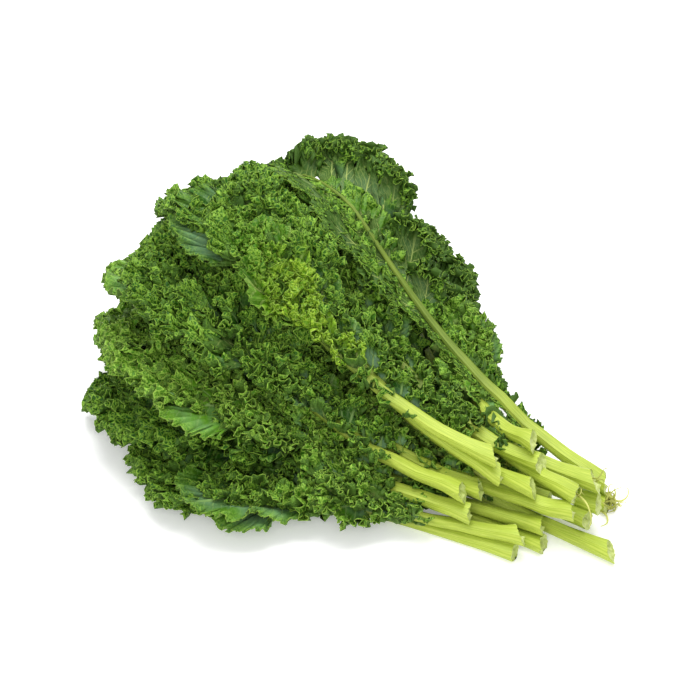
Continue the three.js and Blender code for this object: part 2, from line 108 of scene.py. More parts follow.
class Plan:
    """A leaf seen from above: its middle line and its widths."""

    def __init__(self, number, row):
        x, y, fan, reach, self.half, self.share, self.kind = row
        self.name = f"leaf_{number:02d}"
        self.number = number
        fan = math.radians(fan)
        self.end = NECK + [x, y]
        self.tip = NECK + reach * np.array([-math.cos(fan), math.sin(fan)])
        self.chord = float(np.hypot(*(self.tip - self.end)))
        head = fan * 0.25
        self.bend = self.end + 0.5 * self.chord * np.array([-math.cos(head), math.sin(head)])
        self.base = 1 - self.share  # share of the length that is stalk alone
        self.length = self.chord * self.share

    def plan(self, u):
        """Place and heading at the share u of the length, straight on past the tip."""
        c = np.minimum(u, 1.0)[..., None]
        place = (1 - c) ** 2 * self.end + 2 * c * (1 - c) * self.bend + c * c * self.tip
        way = 2 * (1 - c) * (self.bend - self.end) + 2 * c * (self.tip - self.bend)
        way /= np.linalg.norm(way, axis=-1, keepdims=True)
        return place + way * (u[..., None] - c) * self.chord, way

    def at(self, u, side):
        """The place that lies `side` millimetres beside the middle line."""
        place, way = self.plan(u)
        return place + np.stack([-way[..., 1], way[..., 0]], -1) * side[..., None]

    def share_of(self, along):
        """u of a place that is `along` millimetres past the foot of the blade."""
        return self.base + self.share * along / self.length

    def width(self, u):
        """Half width of the blade's outline."""
        x = np.clip((u - self.base) / self.share, 0, 1)
        return self.half * np.sin(math.pi * x**1.7).clip(0) ** 0.65

    def room(self, u):
        """Half width by which places beside the midrib are told, never under 10 mm."""
        return np.maximum(self.width(np.clip(u, self.base + 0.02, 0.97)), 10)

    def radius(self, u):
        """Radius of the stalk, which flares a little at its cut end."""
        c = np.clip(u, 0, 1)
        flare = FLARE * np.clip(1 - c / FLARE_SHARE, 0, 1)
        return CUT_RADIUS * (1 - c) ** TAPER + TIP_RADIUS + flare

    def rib(self, u):
        """Half width of the fine stalk: thin along the back of the turned leaf."""
        thin = 0.42 * ease((u - 0.25) / 0.45) if self.kind == "turned" else 0.0
        return self.radius(u) * (1 - thin)

    def shares(self, points):
        """u and side of points given in plan."""
        u = np.linspace(0, 1.1, 661)
        place, way = self.plan(u)
        near = np.argmin(((points[:, None] - place[None]) ** 2).sum(-1), axis=1)
        step = points - place[near]
        return u[near], way[near, 0] * step[:, 1] - way[near, 1] * step[:, 0]


first = Plan(1, LEAVES[0])
print("the first leaf is", round(first.chord), "mm long, its blade", round(first.length), "mm")

# %% [markdown]
# ## How high each leaf lies
# In the heap each leaf sags over the ones under it. That form could be simulated again, but the
# frame already holds it, settled and free of overlaps. So the heights are read from the corners
# of the stalk and the blade that the frame gives, and smoothed with a plane fitted near each spot.

# %% Heights from the corners of a node
STATIONS = 24
COLUMNS = np.linspace(-1, 1, 9)


def node_corners(name):
    """The corners of a node of the frame, in millimetres."""
    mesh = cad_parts[name].data
    co = np.empty(len(mesh.vertices) * 3, np.float32)
    mesh.vertices.foreach_get("co", co)
    return np.unique(np.round(co.reshape(-1, 3) / MM, 2), axis=0)


def local_heights(spots, points, heights, widths):
    """Height at each spot of the plane that fits the points near it best."""
    step = points[None] - spots[:, None]
    weight = np.exp(-0.5 * ((step / widths) ** 2).sum(-1)) + 1e-9
    terms = np.concatenate([np.ones_like(step[..., :1]), step], -1)
    left = np.einsum("sp,spi,spj->sij", weight, terms, terms) + np.eye(terms.shape[-1]) * 1e-6
    right = np.einsum("sp,spi,p->si", weight, terms, heights)
    return np.linalg.solve(left, right[..., None])[:, 0, 0]


print("corners of the first stalk:", len(node_corners("leaf_01_stalk")))

# %% The heights of a leaf
class Leaf(Plan):
    """A leaf with the heights of its ridge and its sheet, measured on its stalk and its blade."""

    def __init__(self, number, row):
        super().__init__(number, row)
        stalk = node_corners(self.name + "_stalk")
        blade = node_corners(self.name + "_blade")
        stations = np.linspace(0, 1, STATIONS + 1)
        u, _ = self.shares(stalk[:, :2])
        self.ridge = local_heights(stations[:, None] * self.chord, u[:, None] * self.chord,
                                   stalk[:, 2], np.array([9.0]))
        u, side = self.shares(blade[:, :2])
        q = side / self.room(u)
        spots = np.stack(np.meshgrid(stations * self.chord, COLUMNS, indexing="ij"), -1)
        z = local_heights(spots.reshape(-1, 2), np.stack([u * self.chord, q], -1),
                          blade[:, 2], np.array([16.0, 0.3]))
        self.sheet = z.reshape(len(stations), len(COLUMNS))
        first = int(self.base * STATIONS) + 1
        self.sheet[:first] = self.sheet[first]

    def axis(self, u):
        """Height of the stalk's middle, straight on past the tip."""
        f = np.clip(u, 0, 1) * STATIONS
        i = np.minimum(f.astype(int), STATIONS - 1)
        p = [self.ridge[np.clip(i + k, 0, STATIONS)] for k in (-1, 0, 1, 2)]
        past = np.maximum(u - 1, 0) * STATIONS * (self.ridge[-1] - self.ridge[-2])
        return curve_through(*p, f - i) + past

    def height(self, u, q):
        """Height of the blade at the share u, and at q of its half width to the side."""
        last = len(COLUMNS) - 1
        f = np.clip(u, 0, 1) * STATIONS
        i = np.minimum(f.astype(int), STATIONS - 1)
        g = (np.clip(q, -1, 1) + 1) * 0.5 * last
        j = np.minimum(g.astype(int), last - 1)
        rows = []
        for a in (-1, 0, 1, 2):
            row = self.sheet[np.clip(i + a, 0, STATIONS)]
            p = [np.take_along_axis(row, np.clip(j + b, 0, last)[..., None], -1)[..., 0]
                 for b in (-1, 0, 1, 2)]
            rows.append(curve_through(*p, g - j))
        return curve_through(*rows, f - i)


# %% Measure the leaves
leaves = [Leaf(k + 1, row) for k, row in enumerate(LEAVES)]
TURNED = next(leaf for leaf in leaves if leaf.kind == "turned")
for leaf in leaves[::5]:
    print(leaf.name, "foot at", round(float(leaf.ridge[0]), 1), "mm, blade up to",
          round(float(leaf.sheet.max()), 1), "mm")

# %% [markdown]
# ## Ruffles
# The margin of a kale leaf grows faster than its middle and has to fold to find room. Cloth
# simulation could fold it, but not at 3 mm over twenty-one leaves. Here a wave is laid along the
# margin by its true length, so that it stays as fine on a big lobe as on a small one. Its size,
# its phase and its slant wander, because an even wave looks pleated. The wave also swings along
# the margin, which makes it overhang. Three such waves, each finer than the last, make a frill.


# %% Seeded random curves
def source(seed):
    return np.random.default_rng(seed)


def wander(draw, count, knots):
    """A smooth random curve of `count` values from -1 to 1."""
    p = draw.uniform(-1, 1, knots + 3)
    f = np.linspace(0, knots, count)
    i = np.minimum(f.astype(int), knots - 1)
    return curve_through(p[i], p[i + 1], p[i + 2], p[np.minimum(i + 3, knots + 2)], f - i)


print("the first wandering values:", wander(source(1), 5, 2).round(2))


# %% Directions on a grid of places
def unit(v):
    return v / np.maximum(np.linalg.norm(v, axis=-1, keepdims=True), 1e-9)


def faces_of(P):
    """Along the margin, out to the margin, and straight up from the face."""
    along, out = np.gradient(P, axis=0), np.gradient(P, axis=1)
    return unit(along), unit(out), unit(np.cross(along, out))


def smooth(P, reach):
    """Mean of each place and its neighbours along the margin."""
    ends = np.concatenate([np.repeat(P[:1], reach, 0), P, np.repeat(P[-1:], reach, 0)])
    total = np.cumsum(np.concatenate([np.zeros_like(ends[:1]), ends]), axis=0)
    return (total[2 * reach + 1:] - total[:-2 * reach - 1]) / (2 * reach + 1)


print("a unit step:", unit(np.array([3.0, 4.0, 0.0])))


# %% One ruffle
def ruffle(P, T, spacing, rise, loop, start, power, draw, gain, scale=1.0, twist=1.0):
    """Waves along the margin, as many as its true length has room for.

    P are the places, T their share of the way out, spacing and rise the waves' size in mm, loop
    how far they swing along the margin, start the share at which they set in, gain their local
    strength, scale their local coarseness, and twist how far their crests slant and bow.
    """
    along, _, normal = faces_of(P)
    rim = P[:, -1]
    scale = np.broadcast_to(scale, len(rim))
    step = np.linalg.norm(np.diff(rim, axis=0), axis=1) / scale[1:]
    length = np.concatenate([[0], np.cumsum(step)])
    waves = length[-1] / spacing
    count = len(length)
    phase = 2 * math.pi * length / spacing + 2.4 * wander(draw, count, max(4, int(waves * 0.8)))
    swell = gain * scale * (1 + 0.45 * wander(draw, count, max(4, int(waves * 0.6))))
    shear = 3.0 * twist * wander(draw, count, max(4, int(waves * 0.5)))
    bow = 5.0 * twist * wander(draw, count, max(4, int(waves * 0.5)))
    strength = np.clip((T - start) / (1 - start), 0, 1) ** power
    back = (T - 1)[None]
    turn = phase[:, None] + shear[:, None] * back + bow[:, None] * back**2
    a = rise * swell[:, None] * strength[None]
    up, swing = a * np.sin(turn), a * loop * np.sin(2 * turn)
    return P + normal * up[..., None] - along * swing[..., None]


STRIP_SHARES = np.linspace(0, 1, 5)
strip = np.stack([*np.meshgrid(np.arange(60.0), 10 * STRIP_SHARES, indexing="ij"),
                  np.zeros((60, 5))], -1)
strip = ruffle(strip, STRIP_SHARES, 8, 3, 0.4, 0.1, 1.0, source(1), 1.0)
print("a flat strip of 60 mm gets waves of", round(float(np.ptp(strip[..., 2])), 1), "mm")

# %% [markdown]
# ## Lobes
# A blade isn't one sheet with a wavy edge. Deep cuts part it into lobes that overlap like feathers,
# and small leaflets stand along the stalk below it. A lobe is a neck that leaves the midrib and a
# round fan at its end. Fans of three sizes take turns, some lie smooth and waxy, and the leaves
# that show their underside have broad ones. The grid of a blade runs round its margin, lobe after
# lobe, so one sheet without a seam holds them all.

# %% What can be seen from outside
def heap_tree():
    """All nodes of the frame as one tree for rays."""
    corners, faces = [], []
    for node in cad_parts.values():
        start = len(corners)
        corners += [v.co[:] for v in node.data.vertices]
        faces += [[start + k for k in p.vertices] for p in node.data.polygons]
    return BVHTree.FromPolygons(corners, faces)


HEAP = heap_tree()
RAYS = [Vector((math.cos(a) * math.cos(e), math.sin(a) * math.cos(e), math.sin(e)))
        for e in (0.15, 0.6, 1.1) for a in np.arange(0, 2 * math.pi, math.pi / 4) + e]


def in_view(place):
    """Share of the directions above from which this place can be seen."""
    start = Vector(place * MM)
    return sum(HEAP.ray_cast(start, ray)[0] is None for ray in RAYS) / len(RAYS)


print(len(RAYS), "directions to look from")

# %% Forms of lobes
RIB_END = 0.88  # share of the blade's length up to which lobes stand on the midrib
# half angle of the fan, share of it that is left at its sides, mm that its flanks part along the
# midrib, how much of the ruffles it takes, and the least and most of its tilt, pitch, cup and lift
FORMS = {
    "waxy": (78, 0.5, 6, 0.5, (-0.3, -0.25, 0.0, 3), (0.1, 0.05, 0.2, 8)),
    "curly": (114, 0.35, 4, 1.0, (-0.5, -0.2, 0.1, -3), (0.2, 0.2, 0.35, 8)),
    "broad": (104, 0.45, 0, 1.0, (-0.15, 0.0, 0.1, -1), (0.05, 0.2, 0.3, 3)),
    "leaflet": (100, 0.05, 2.5, 1.0, (-0.4, 0.2, 0.1, 0), (0.4, 0.9, 0.4, 1)),
}


def fan_size(form, full, part, draw):
    """Radius of the fan at the end of a lobe that is `full` long, in mm."""
    if form == "curly":
        return min(0.8 * full, draw.uniform(17, 24) if part == 1 else draw.uniform(15, 20))
    if form == "broad":
        return min(0.5 * full, draw.uniform(12, 16))
    return full * (0.56 if form == "waxy" else 0.75)


print("forms:", *FORMS)


# %% A lobe
class Lobe:
    """One fan of a blade: a neck from the midrib, and a round fan at its end.

    Tilt, pitch, cup and lift raise its flank, its whole, its margin and its end.
    """

    def __init__(self, leaf, foot, heading, side, form, draw, part=1, full=None):
        self.foot, self.heading, self.side = foot, heading, side
        full = part * (full or reach_to_outline(leaf, foot, heading))
        spread, self.notch, self.shift, self.calm, low, high = FORMS[form]
        self.fan = fan_size(form, full, part, draw)
        self.tilt, self.pitch, self.cup, self.lift = draw.uniform(low, high)
        if form == "curly":
            self.pitch += 0.15 * (part < 1)
        if form == "broad":
            self.shift = 0.04 * leaf.length
        if side == 0:
            spread, self.shift = 118, 0
        self.spread = math.radians(spread)
        self.neck = max(full - self.fan, 1.0)
        self.look(leaf)

    def look(self, leaf):
        """How much of the lobe's middle shows, a little above the blade."""
        a = self.foot + math.cos(self.heading) * (self.neck + 0.3 * self.fan)
        b = np.array(math.sin(self.heading) * (self.neck + 0.3 * self.fan))
        u = np.array(leaf.share_of(a))
        z = leaf.height(u, b / leaf.room(u)) if self.foot > 0 else leaf.axis(u)
        self.seen = in_view(np.append(leaf.at(u, b), z + 7))


def reach_to_outline(leaf, foot, heading):
    """How far a straight line from the midrib runs before it leaves the blade's outline."""
    r = np.arange(2.0, 90.0, 0.5)
    a = foot + math.cos(heading) * r
    b = np.abs(math.sin(heading) * r)
    inside = (b < leaf.width(leaf.share_of(a))) & (a < leaf.length)
    return max(float(r[np.argmin(inside)]), 14.0)


print("a lobe across the first leaf reaches", reach_to_outline(leaves[0], 60, 1.2), "mm")

# %% Lobes in their order round a blade
WAXY_SHARE = 0.24  # of the full-sized lobes
LEAFLETS_END, YOUNG_LEAFLETS_END = 88, 24  # mm down the stalk from the blade
BARE_END = 62  # mm from the cut end that stay bare


def lobes_of(leaf, draw):
    """Lobes in the order in which the margin passes them, leaflets on the stalk first."""
    broad = leaf.kind in SHOWS_UNDERSIDE
    number = 9 if broad else round(leaf.length / 19)
    step = 0.75 / number
    parts = (1,) if broad else (1, 0.4, 0.7)
    bare = leaf.base * leaf.chord - BARE_END
    lowest = -min(bare, YOUNG_LEAFLETS_END if leaf.kind == "young" else LEAFLETS_END)

    def row(side):
        leaflets, foot = [], -draw.uniform(6, 16)
        while foot > lowest:
            full = draw.uniform(9, 22) * (1 + 0.4 * foot / LEAFLETS_END)
            heading = side * math.radians(draw.uniform(60, 95))
            leaflets.append(Lobe(leaf, foot, heading, side, "leaflet", draw, full=full))
            foot -= draw.uniform(8, 18)
        yield from leaflets[::-1]
        for k in range(number):
            for j, part in enumerate(parts):
                share = 0.05 + step * (k + j / len(parts) + 0.12 * draw.uniform(-1, 1))
                foot = share * leaf.length
                heading = side * math.radians(68 - 34 * k / number + 9 * draw.uniform(-1, 1))
                waxy = part == 1 and draw.uniform() < WAXY_SHARE
                form = "broad" if broad else "waxy" if waxy else "curly"
                yield Lobe(leaf, foot, heading, side, form, draw, part)

    tip = Lobe(leaf, 0.78 * leaf.length, 0.0, 0, "curly", draw)
    return [*row(1), tip, *list(row(-1))[::-1]]




first_lobes = lobes_of(leaves[0], source(101))
print(len(first_lobes), "lobes on the first leaf,",
      sum(lobe.calm < 1 for lobe in first_lobes), "of them waxy")

# %% [markdown]
# ## The margin
# The frills that show need places every 0.4 mm, but most of the heap is hidden, and a million
# triangles are soon used up. So the places are spread by how much of their lobe shows: close on
# the outside of the heap, up to three times further apart deep inside.

# %% Places round the margin
GRAIN = 0.38  # mm between places on a margin that shows
FACTS = ("foot", "heading", "side", "spread", "fan", "neck", "tilt", "pitch", "cup", "lift",
         "shift", "notch", "calm")


def coarser(p, seen):
    """How many times coarser the margin is at p, from how well its lobe shows."""
    return 1 + 2.6 * (1 - ease(np.interp(p, np.arange(len(seen)) + 0.5, seen) / 0.17))


class Margin:
    """What the places round a margin know: where in its fan each is, and its lobe's facts."""

    def __init__(self, leaf, lobes, p):
        facts = np.array([[getattr(lobe, fact) for fact in FACTS] for lobe in lobes])
        k = np.minimum(p.astype(int), len(lobes) - 1)
        for fact, values in zip(FACTS, facts[k].T):
            setattr(self, fact, values)
        self.over = 1 - 2 * (p - k)  # 1 to -1 from flank to flank
        roundness = self.notch + (1 - self.notch) * (1 - np.abs(self.over) ** 3) ** 0.6
        foot = self.foot - self.side * self.over * self.shift
        self.foot = np.minimum(foot, RIB_END * leaf.length)
        self.turn = self.over * self.spread
        self.fan = self.fan * roundness


def margin_places(leaf, lobes, seen):
    """Places along the margin as numbers of its lobes, closer together where they show."""
    p = np.linspace(0, len(lobes) - 1e-6, 200 * len(lobes))
    m = Margin(leaf, lobes, p)
    rim = np.stack([m.foot + m.neck * np.cos(m.heading) + m.fan * np.cos(m.heading + m.turn),
                    m.neck * np.sin(m.heading) + m.fan * np.sin(m.heading + m.turn)], -1)
    grain = GRAIN * coarser(p, seen)
    run = np.linalg.norm(np.diff(rim, axis=0), axis=1).clip(0.02, 1) / grain[1:]
    run = np.concatenate([[0], np.cumsum(run)])
    return np.interp(np.linspace(0, run[-1], int(run[-1]) + 1), run, p)


first_seen = np.array([lobe.seen for lobe in first_lobes])
print(len(margin_places(leaves[0], first_lobes, first_seen)), "places round the first blade")

# %% [markdown]
# ## Draping a blade
# First the blade is laid out flat: every place gets its distance along and beside the midrib.
# Then it takes its height from the sheet that was measured, so that it lies where its solid does,
# and its lobes tilt, lift and curl up from there. Close to the midrib it follows the stalk.

# %% Lay the blade out flat
SHARES = np.array([0, 0.2, 0.37, 0.5, 0.6, 0.69, 0.76, 0.81, 0.855, 0.895, 0.93, 0.965, 1.0])


def lay_flat(leaf, m):
    """Fill in m.a and m.b, the distance of every place along and beside the midrib."""
    m.r = SHARES[None] * m.fan[:, None]
    m.across = m.r * np.sin(m.turn)[:, None]
    m.ahead = (SHARES**0.7)[None] * m.neck[:, None] + m.r * np.cos(m.turn)[:, None]
    c, d = np.cos(m.heading)[:, None], np.sin(m.heading)[:, None]
    m.a = m.foot[:, None] + m.ahead * c - m.across * d
    b = m.ahead * d + m.across * c
    m.hand = np.where(m.side != 0, m.side, np.sign(m.over + 1e-9))[:, None]
    m.rib = leaf.rib(leaf.share_of(m.foot))[:, None]
    b = np.where((m.side[:, None] != 0) & (b * m.hand < 0.3), 0.3 * m.hand, b)
    m.b = b + m.hand * 0.7 * m.rib * (1 - SHARES) ** 2


print(len(SHARES), "rows from the foot of a lobe to its margin")

# %% Drape it
# how far the outer lobes of the topmost leaves stand over their solids, in mm
CROWN = {12: 6, 13: 6, 14: 10, 15: 8, 16: 6, 18: 8, 19: 8, 20: 14}
STALK_HOLD = 12.0  # mm from the midrib over which the blade lets go of it


def drape(leaf, m):
    """The places of the blade in space, in mm."""
    T = SHARES
    u = leaf.share_of(m.a)
    away = np.hypot(m.ahead, m.across)
    near = np.maximum(np.exp(-away / STALK_HOLD), ease(-m.foot / 3)[:, None])
    hold = -0.35 if leaf.kind == "turned" else 0.35
    z = leaf.height(u, m.b / leaf.room(u)) * (1 - near) + (leaf.axis(u) + hold * m.rib) * near
    # the flank of a lobe that looks back to the stalk lies over its neighbour
    z = z + m.tilt[:, None] * m.across * m.hand * np.where(m.side[:, None] != 0, 1, 0.3)
    z = z + m.pitch[:, None] * m.r + m.cup[:, None] * m.fan[:, None] * T**2.2 + m.lift[:, None] * T
    # of the turned leaf only the far side stands up, so that its midrib shows
    far = ease(-m.b / 14) if leaf.kind == "turned" else 1.0
    z = z + CROWN.get(leaf.number, 0) * T * ease((u - 0.5) / 0.4) * far
    return smooth(np.concatenate([leaf.at(u, m.b), z[..., None]], -1), 4)


# %% [markdown]
# ## The rest of a frill
# A real margin rolls up before it curls, carries small teeth, and is pressed down by what lies on
# it. The leaves that show their underside hide their frill behind them, so two more bands of
# curls stand on their outer rows. Last, nothing may reach under the table.

# %% Bands of curls, teeth and what presses on a frill
def curls(P, row, wide, lean, draw, gain):
    """A second frill that stands on a row of the blade, leaning out from its face."""
    _, out, normal = faces_of(P)
    t = np.linspace(0, 1, 8)
    lean = np.radians(lean)[:, None]
    way = unit(smooth(out[:, row] * np.cos(lean) + normal[:, row] * np.sin(lean), 6))
    foot = P[:, row] - 0.6 * normal[:, row]
    Q = foot[:, None] + way[:, None] * (wide * t)[None, :, None] * (0.4 + 0.6 * gain)[:, None, None]
    Q = ruffle(Q, t, 7.5, 2.8, 0.35, 0.02, 0.9, draw, gain, 1.0, 3.0)
    return ruffle(Q, t, 3.3, 1.3, 0.4, 0.3, 1.0, draw, gain, 1.0, 3.0)


def toothed(P, draw):
    """Every second group of places on the margin stands out as a tooth."""
    _, out, _ = faces_of(P)
    saw = (np.arange(len(P)) % 6 < 3)[:, None] * draw.uniform(0.2, 1.4, len(P))[:, None]
    P[:, -1] += out[:, -1] * saw
    return P


def under_rib(P):
    """Places that would stand before the turned leaf's midrib lie lower, pressed by it."""
    spots = P.reshape(-1, 3)
    u = np.linspace(0.2, 0.985, 158)
    place, way = TURNED.plan(u)
    step = spots[:, None, :2].astype(np.float32) - place[None].astype(np.float32)
    near = np.argmin((step**2).sum(-1), axis=1)
    step = step[np.arange(len(near)), near]
    side = way[near, 0] * step[:, 1] - way[near, 1] * step[:, 0]
    limit = TURNED.axis(u)[near] - 1 + 0.75 * np.maximum(side - 3, 0) + 3 * np.maximum(-side - 4, 0)
    limit = np.where(near == len(u) - 1, 1e3, limit)
    z = spots[:, 2]
    z = np.where(z > limit, limit + 0.12 * (z - limit), z)
    return np.concatenate([spots[:, :2], z[:, None]], -1).reshape(P.shape)


def on_table(P):
    """Nothing lies lower than the table: places below the knee are pressed together."""
    low, knee = 0.5, 5.0
    z = P[..., 2] - low
    P[..., 2] = np.where(z > knee, z, knee * np.exp(np.minimum(z / knee - 1, 0))) + low
    return P


lowest = float(strip[..., 2].min())
print("the waved strip reached down to", round(lowest, 1), "mm, and on the table to",
      round(float(on_table(strip)[..., 2].min()), 1), "mm")

# %% A whole blade
CURL_ROW = 8  # row of the blade on which the bands of curls stand
BANDS = ((8, (75, 12)), (9, (35, -15)))  # width in mm, lean in degrees on the near and far side
BAND_LAY = (20.0, 20.0, 0.8)  # a band has no veins, and the colour of a margin, with its painted crest highlights and hollow shade


def frilled(leaf):
    """The sheets of one blade: places in mm, and for each its lay inside its lobe."""
    draw = source(100 + leaf.number)
    lobes = lobes_of(leaf, draw)
    seen = np.array([lobe.seen for lobe in lobes])
    p = margin_places(leaf, lobes, seen)
    scale = np.minimum(coarser(p, seen), 1.8)
    m = Margin(leaf, lobes, p)
    gain = np.clip(m.fan / 12, 0, 1) * m.calm
    lay_flat(leaf, m)
    P = drape(leaf, m)
    T = SHARES
    lay = np.stack([m.across, m.ahead, T[None] * (0.36 + 0.64 * m.calm[:, None])], -1)
    plain = leaf.kind in SHOWS_UNDERSIDE
    if plain:  # a raised vein runs down the middle of each lobe
        lay[..., 0] = m.over[:, None] * 24
        vein = np.exp(-(lay[..., 0] / (1.3 - 0.8 * T[None])) ** 2) * (1 - T[None]) ** 0.5
        P[..., 2] += vein * (0.9 if leaf.kind == "turned" else 0.5)
    folds = (22, 2.4, 0.1, 0.55, 1.2) if plain else (24, 3.4, 0.1, 0.1, 1.2)
    P = ruffle(P, T, *folds, draw, gain, 1.0, 2.0)
    # the margin turns up, and back over the lobe
    _, out, normal = faces_of(P)
    roll = gain[:, None, None] * (np.clip((T - 0.5) / 0.5, 0, 1) ** 1.6)[None, :, None]
    P = P + normal * 4.3 * roll - out * (6.0 if plain else 3.0) * roll
    bands = [curls(P, CURL_ROW, wide, np.where(m.side < 0, *lean), draw, gain)
             for wide, lean in BANDS] if plain else []
    P = ruffle(P, T, 8.5, 3.0, 0.45, 0.5 if plain else 0.3, 1.0, draw, gain, scale, 4.0)
    P = ruffle(P, T, 3.4, 1.45, 0.40, 0.62 if plain else 0.5, 1.0, draw, gain, scale, 4.0)
    lays = [lay] + [np.broadcast_to(BAND_LAY, band.shape) for band in bands]
    sheets = [toothed(sheet, draw) for sheet in [P] + bands]
    if leaf.kind != "young":
        sheets = [under_rib(sheet) for sheet in sheets]
    return [(on_table(sheet), lay) for sheet, lay in zip(sheets, lays)]


blades = {leaf.name: frilled(leaf) for leaf in leaves}
places = sum(P.shape[0] * P.shape[1] for sheets in blades.values() for P, _ in sheets)
print("places on all blades:", places)

# %% [markdown]
# ## From places to a mesh
# Blender's own grid primitive already has the faces that such a sheet needs. It is added flat with
# as many squares as there are places, and each corner is moved to its own place.


# %% A mesh from a grid of places
def grid_piece(name, P, attributes=()):
    """A plane grid added as a primitive, with each corner moved to its place."""
    n, m, _ = P.shape
    bpy.ops.mesh.primitive_grid_add(x_subdivisions=n - 1, y_subdivisions=m - 1, size=2)
    ob = bpy.context.object
    ob.name = ob.data.name = name
    me = ob.data
    co = np.empty(len(me.vertices) * 3, np.float32)
    me.vertices.foreach_get("co", co)
    co = co.reshape(-1, 3)
    i = np.rint((co[:, 0] + 1) / 2 * (n - 1)).astype(int)
    j = np.rint((co[:, 1] + 1) / 2 * (m - 1)).astype(int)
    me.vertices.foreach_set("co", (P[i, j] * MM).astype(np.float32).ravel())
    for key, values in attributes:
        kind, slot = ("FLOAT_VECTOR", "vector") if values.ndim == 3 else ("FLOAT", "value")
        layer = me.attributes.new(key, kind, "POINT")
        layer.data.foreach_set(slot, values[i, j].astype(np.float32).ravel())
    me.update()
    return ob


def apply_modifier(ob, kind, **settings):
    bpy.context.view_layer.objects.active = ob
    modifier = ob.modifiers.new(kind.title(), kind)
    for key, value in settings.items():
        setattr(modifier, key, value)
    bpy.ops.object.modifier_apply(modifier=modifier.name)


def triangles(ob):
    return sum(len(p.vertices) - 2 for p in ob.data.polygons)


# %% [markdown]
# ## Finishes
# A finish is a tree of nodes. Three dozen short calls say it more clearly than hundreds of lines
# of nodes and links, so a small helper adds a node and joins it. A finish reads the object's own
# coordinates for clouds and specks, which then run on from leaf to leaf, and each blade's lay for
# what follows the growth of a lobe: veins, the waxy middle, and the painted highlights and shade of
# the margin's fine curls.

# %% Nodes in short
class Nodes:
    """Adds nodes to a tree and joins them."""

    def __init__(self, tree):
        self.tree = tree

    def add(self, kind, inputs=(), **settings):
        node = self.tree.nodes.new(kind)
        for key, value in settings.items():
            setattr(node, key, value)
        for key, value in dict(inputs).items():
            self.give(node.inputs[key], value)
        return node

    def give(self, socket, value):
        if isinstance(value, bpy.types.NodeSocket):
            self.tree.links.new(value, socket)
        else:
            socket.default_value = value

    def math(self, operation, a, b=0.0, c=0.0, clamp=False):
        node = self.add("ShaderNodeMath", operation=operation, use_clamp=clamp)
        for socket, value in zip(node.inputs, (a, b, c)):
            self.give(socket, value)
        return node.outputs[0]

    def mix(self, share, a, b):
        """Colour a where share is 0, and b where it is 1."""
        node = self.add("ShaderNodeMix", data_type="RGBA")
        self.give(node.inputs[0], share)
        self.give(node.inputs[6], a)
        self.give(node.inputs[7], b)
        return node.outputs[2]

    def span(self, value, low, high, to_low=0.0, to_high=1.0):
        """value from low..high to to_low..to_high, held at the ends, with soft ends."""
        node = self.add("ShaderNodeMapRange", interpolation_type="SMOOTHSTEP")
        for socket, v in zip(node.inputs, (value, low, high, to_low, to_high)):
            self.give(socket, v)
        return node.outputs[0]

    def noise(self, vector, scale, detail=2.0, roughness=0.5):
        node = self.add("ShaderNodeTexNoise", {"Vector": vector, "Scale": scale, "Detail": detail,
                                               "Roughness": roughness})
        return node.outputs[0]


def rgba(r, g, b):
    return (r, g, b, 1.0)

# %% [markdown]
# ## Veins
# In each lobe a pale main vein runs up the middle, side veins leave it at a slant, and a fine net
# lies between them. All of it follows the lobe, so it is drawn from the lay. Both sides of a blade
# show it, so it is a group of its own that every blade finish holds.


# %% Group: veins
def vein_group():
    tree = bpy.data.node_groups.new("Leaf Veins", "ShaderNodeTree")
    face = tree.interface
    face.new_socket("Lay", in_out="INPUT", socket_type="NodeSocketVector")
    face.new_socket("Width", in_out="INPUT", socket_type="NodeSocketFloat").default_value = 0.6
    face.new_socket("Spacing", in_out="INPUT", socket_type="NodeSocketFloat").default_value = 8.0
    face.new_socket("Veins", in_out="OUTPUT", socket_type="NodeSocketFloat")
    face.new_socket("Net", in_out="OUTPUT", socket_type="NodeSocketFloat")
    n = Nodes(tree)
    inp, out = n.add("NodeGroupInput"), n.add("NodeGroupOutput")
    wobble = n.add("ShaderNodeTexNoise", {"Vector": inp.outputs["Lay"], "Scale": 0.12,
                                          "Detail": 1.0})
    shift = n.add("ShaderNodeVectorMath", {0: wobble.outputs["Color"], 1: (3.0, 3.0, 0.0),
                                           2: (-1.5, -1.5, 0.0)}, operation="MULTIPLY_ADD")
    sway = n.add("ShaderNodeVectorMath", {0: inp.outputs["Lay"], 1: shift.outputs[0]},
                 operation="ADD")
    own = n.add("ShaderNodeSeparateXYZ", {0: inp.outputs["Lay"]})
    moved = n.add("ShaderNodeSeparateXYZ", {0: sway.outputs[0]})
    aside = n.math("ABSOLUTE", own.outputs["X"])
    wide, spacing = inp.outputs["Width"], inp.outputs["Spacing"]
    main = n.span(n.math("DIVIDE", aside, wide), 0.5, 1.5, 1.0, 0.0)
    # side veins leave the main vein at a slant, one after another
    slant = n.math("MULTIPLY_ADD", n.math("ABSOLUTE", moved.outputs["X"]), -1.1, moved.outputs["Y"])
    count = n.math("DIVIDE", slant, spacing)
    ripple = n.math("ABSOLUTE", n.math("SUBTRACT", n.math("FRACT", count), 0.5))
    off = n.math("MULTIPLY", n.math("SUBTRACT", 0.5, ripple), spacing)
    side = n.span(n.math("DIVIDE", off, wide), 0.5, 1.3, 0.7, 0.0)
    side = n.math("MULTIPLY", side, n.span(aside, 4.0, 26.0, 1.0, 0.25))
    n.give(out.inputs["Veins"], n.math("MAXIMUM", main, side))
    cells = n.add("ShaderNodeTexVoronoi", {"Vector": sway.outputs[0], "Scale": 0.3},
                  feature="DISTANCE_TO_EDGE")
    n.give(out.inputs["Net"], n.span(cells.outputs["Distance"], 0.0, 0.12, 1.0, 0.0))
    return tree


VEINS = vein_group()
print(VEINS.name, "has", len(VEINS.nodes), "nodes")
